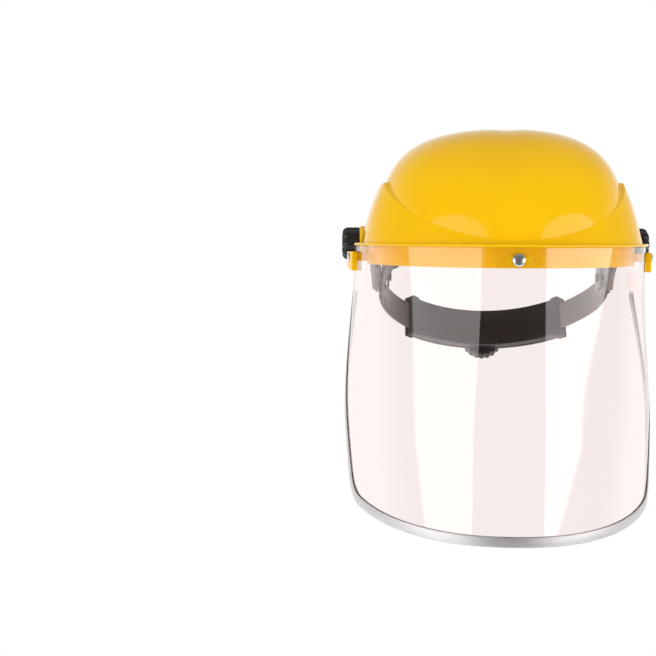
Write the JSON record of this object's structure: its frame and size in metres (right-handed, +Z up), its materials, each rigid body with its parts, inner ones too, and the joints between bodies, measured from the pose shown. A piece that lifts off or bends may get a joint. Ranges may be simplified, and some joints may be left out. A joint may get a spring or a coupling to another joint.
{
  "type": "face shield",
  "caption": "Browguard with a domed crown and a clear wrap-round visor that tilts up on side knobs above a headband with a rear ratchet.",
  "frame": {"origin": "middle of the tilt axis between the two side knobs, level with the lip of the browguard", "axes": "+Z up, the wearer faces -Y, +X is on the right as seen from the front"},
  "size_m": [0.2324, 0.2603, 0.2784],
  "materials": {
    "yellow_plastic": "glossy injection-moulded",
    "clear_sheet": "clear polished sheet",
    "trim_aluminium": "brushed",
    "rivet_chrome": "bright domed",
    "plain_steel": "plated",
    "black_plastic": "satin moulded",
    "headgear_plastic": "satin moulded",
    "sweatband_foam": "soft foam",
    "insert_brass": "turned",
    "washer_nylon": "natural nylon"
  },
  "bodies": {
    "headband": {"brow_band": "headgear_plastic", "sweatband": "sweatband_foam", "left_pivot_bracket": "headgear_plastic", "right_pivot_bracket": "headgear_plastic", "left_pivot_bolt": "plain_steel", "right_pivot_bolt": "plain_steel", "left_friction_washer": "washer_nylon", "right_friction_washer": "washer_nylon", "left_strap": "headgear_plastic", "right_strap": "headgear_plastic", "left_strap_stud": "headgear_plastic", "right_strap_stud": "headgear_plastic", "left_crown_strap": "headgear_plastic", "right_crown_strap": "headgear_plastic", "left_crown_peg": "headgear_plastic", "right_crown_peg": "headgear_plastic"},
    "crown": {"crown_shell": "yellow_plastic", "visor": "clear_sheet", "visor_trim": "trim_aluminium", "front_rivet": "rivet_chrome", "front_washer": "plain_steel", "left_visor_rivet": "rivet_chrome", "right_visor_rivet": "rivet_chrome", "left_visor_washer": "plain_steel", "right_visor_washer": "plain_steel"},
    "left_knob": {"left_knob": "black_plastic", "left_knob_nut": "insert_brass"},
    "right_knob": {"right_knob": "black_plastic", "right_knob_nut": "insert_brass"},
    "nape": {"ratchet_housing": "black_plastic", "ratchet_cover": "black_plastic", "detent_ring": "plain_steel"},
    "ratchet_knob": {"ratchet_knob": "black_plastic", "ratchet_pinion": "black_plastic", "ratchet_screw": "plain_steel"}
  },
  "joints": [
    {"name": "visor_tilt", "type": "hinge", "parent": "headband", "child": "crown", "pos_m": [0, 0, 0], "axis": [-1, 0, 0], "range_deg": [0, 80]},
    {"name": "left_knob_turn", "type": "hinge", "parent": "headband", "child": "left_knob", "pos_m": [-0.1, 0, 0], "axis": [-1, 0, 0], "range_deg": [0, 360]},
    {"name": "right_knob_turn", "type": "hinge", "parent": "headband", "child": "right_knob", "pos_m": [0.1, 0, 0], "axis": [1, 0, 0], "range_deg": [0, 360]},
    {"name": "nape_slide", "type": "slide", "parent": "headband", "child": "nape", "axis": [0, 0.866, -0.5], "range_m": [-0.012, 0.012], "deforming": ["left_strap", "right_strap"]},
    {"name": "ratchet_knob_turn", "type": "hinge", "parent": "nape", "child": "ratchet_knob", "pos_m": [0, 0.08098, -0.0749], "axis": [0, 0.866, -0.5], "range_deg": [-140, 140]}
  ],
  "couplings": [
    {"joint": "ratchet_knob_turn", "follows": "nape_slide", "rad_per_m": 200}
  ]
}
